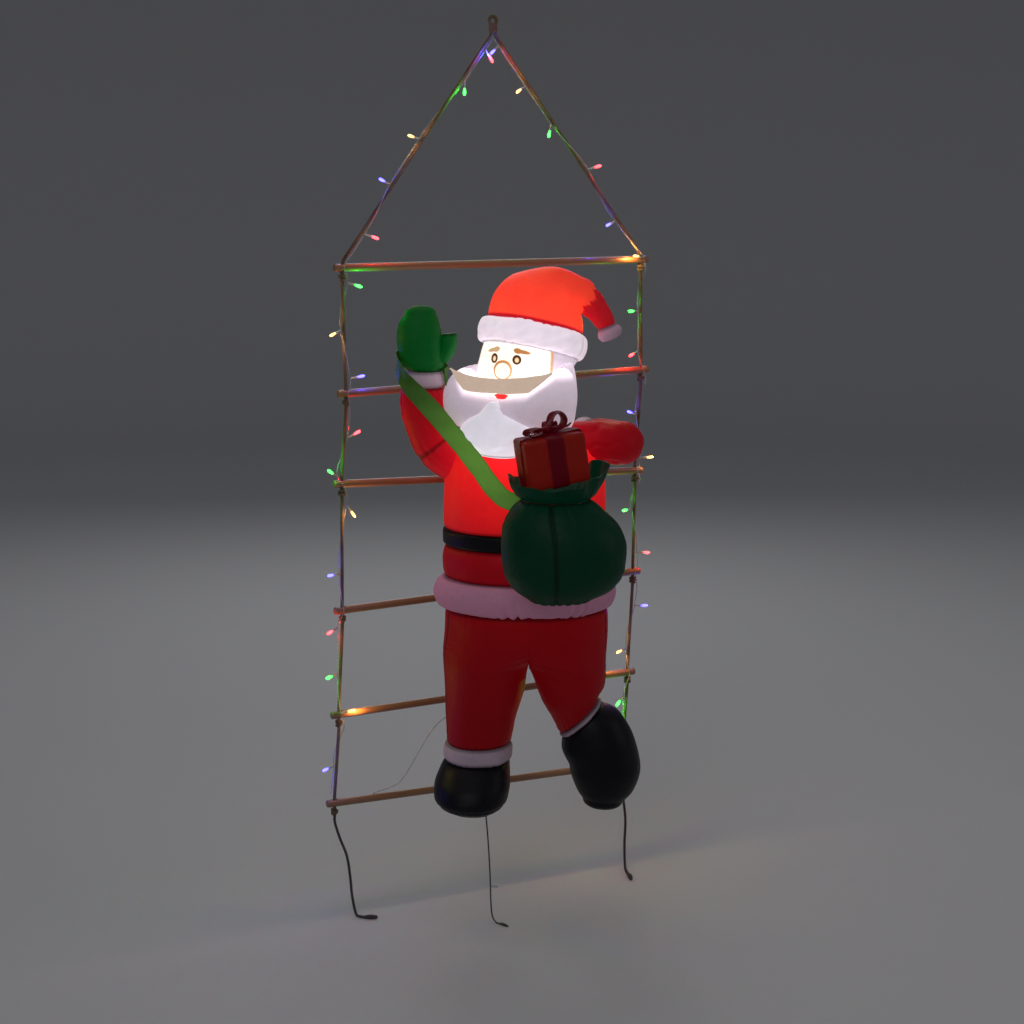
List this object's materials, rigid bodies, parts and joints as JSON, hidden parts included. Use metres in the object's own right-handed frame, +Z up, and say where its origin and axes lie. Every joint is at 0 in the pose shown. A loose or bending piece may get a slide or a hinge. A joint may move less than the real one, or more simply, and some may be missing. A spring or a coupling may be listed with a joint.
{
  "type": "inflatable santa on rope ladder",
  "caption": "Waving inflatable santa with a sack and a present, tied to a hanging rope ladder with wooden rungs and strings of small lights.",
  "frame": {"origin": "inside top of the eye of the hanging loop, where a hook bears", "axes": "+Z up, towards the hook; +X along the rungs, to the right as seen from the front; -Y out of the front, where the figure is"},
  "size_m": [0.7865, 0.5342, 1.8574],
  "materials": {
    "nylon_red": "thin satin nylon, a little see-through when lit from inside",
    "nylon_white": "thin satin nylon",
    "nylon_face": "thin satin nylon, cream",
    "nylon_black": "thin satin nylon",
    "nylon_green": "thin satin nylon",
    "nylon_dark_green": "thin satin nylon",
    "felt_tan": "matt felt",
    "strap_green": "woven nylon strap",
    "gift_red": "satin nylon",
    "ribbon_red": "satin ribbon",
    "webbing_black": "woven webbing",
    "hemp_rope": "twisted natural fibre rope",
    "rung_wood": "satin varnish",
    "clear_wire": "clear, glossy",
    "tether_cord": "dark twisted cord"
  },
  "bodies": {
    "root": {"hanging_loop": "hemp_rope", "rope_left": "hemp_rope", "rope_right": "hemp_rope", "rung_1": "rung_wood", "rung_2": "rung_wood", "rung_3": "rung_wood", "rung_4": "rung_wood", "rung_5": "rung_wood", "rung_6": "rung_wood", "light_string_left": "clear_wire", "light_string_right": "clear_wire", "lamp_lead": "clear_wire", "tether_left": "tether_cord", "tether_right": "tether_cord", "boot_line": "tether_cord", "hat": "nylon_red", "jacket": "nylon_red", "jacket_skirt": "nylon_red", "trouser_leg_standing": "nylon_red", "trouser_leg_raised": "nylon_red", "sleeve_waving": "nylon_red", "sleeve_bent": "nylon_red", "hat_brim": "nylon_white", "hat_tip": "nylon_white", "beard": "nylon_white", "beard_point": "nylon_white", "jacket_hem": "nylon_white", "trouser_cuff_standing": "nylon_white", "trouser_cuff_raised": "nylon_white", "cuff_waving": "nylon_white", "cuff_bent": "nylon_white", "head": "nylon_face", "nose": "nylon_face", "moustache": "felt_tan", "belt": "nylon_black", "boot_standing": "nylon_black", "boot_raised": "nylon_black", "mitten_waving": "nylon_green", "mitten_bent": "nylon_green", "sack": "nylon_dark_green", "sack_collar": "nylon_dark_green", "sack_strap": "strap_green", "gift_box": "gift_red", "gift_ribbon": "ribbon_red", "gift_bow": "ribbon_red", "ladder_tie_upper": "webbing_black", "ladder_tie_lower": "webbing_black"}
  },
  "joints": []
}
